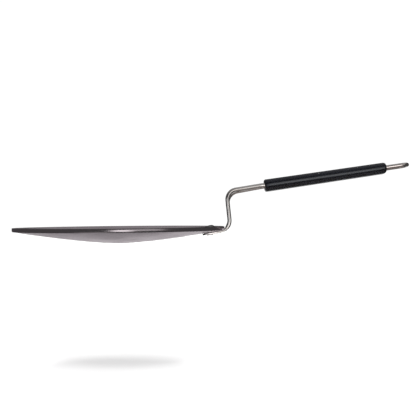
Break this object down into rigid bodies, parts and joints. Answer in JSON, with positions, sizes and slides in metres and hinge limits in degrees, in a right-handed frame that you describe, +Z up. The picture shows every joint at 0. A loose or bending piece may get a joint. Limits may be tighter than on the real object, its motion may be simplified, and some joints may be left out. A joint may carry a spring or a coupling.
{
  "type": "griddle pan",
  "caption": "Shallow round-bottomed griddle pan on a cranked hairpin wire handle with a plastic grip sleeve and a hanging eye at its end.",
  "frame": {"origin": "middle of the small flat spot under the pan that it stands on", "axes": "+X from the pan's middle toward the handle's hanging eye, +Z up out of the dish, +Y across the handle"},
  "size_m": [0.469, 0.25, 0.0926],
  "materials": {
    "pan_steel": "bare steel, turned and polished",
    "wire_steel": "bright drawn steel rod",
    "grip_plastic": "black moulded plastic, semi-gloss",
    "rivet_steel": "plain steel, hammered"
  },
  "bodies": {
    "root": {"pan": "pan_steel", "handle_wire": "wire_steel", "grip_sleeve": "grip_plastic", "rivet_near": "rivet_steel", "rivet_far": "rivet_steel"}
  },
  "joints": []
}
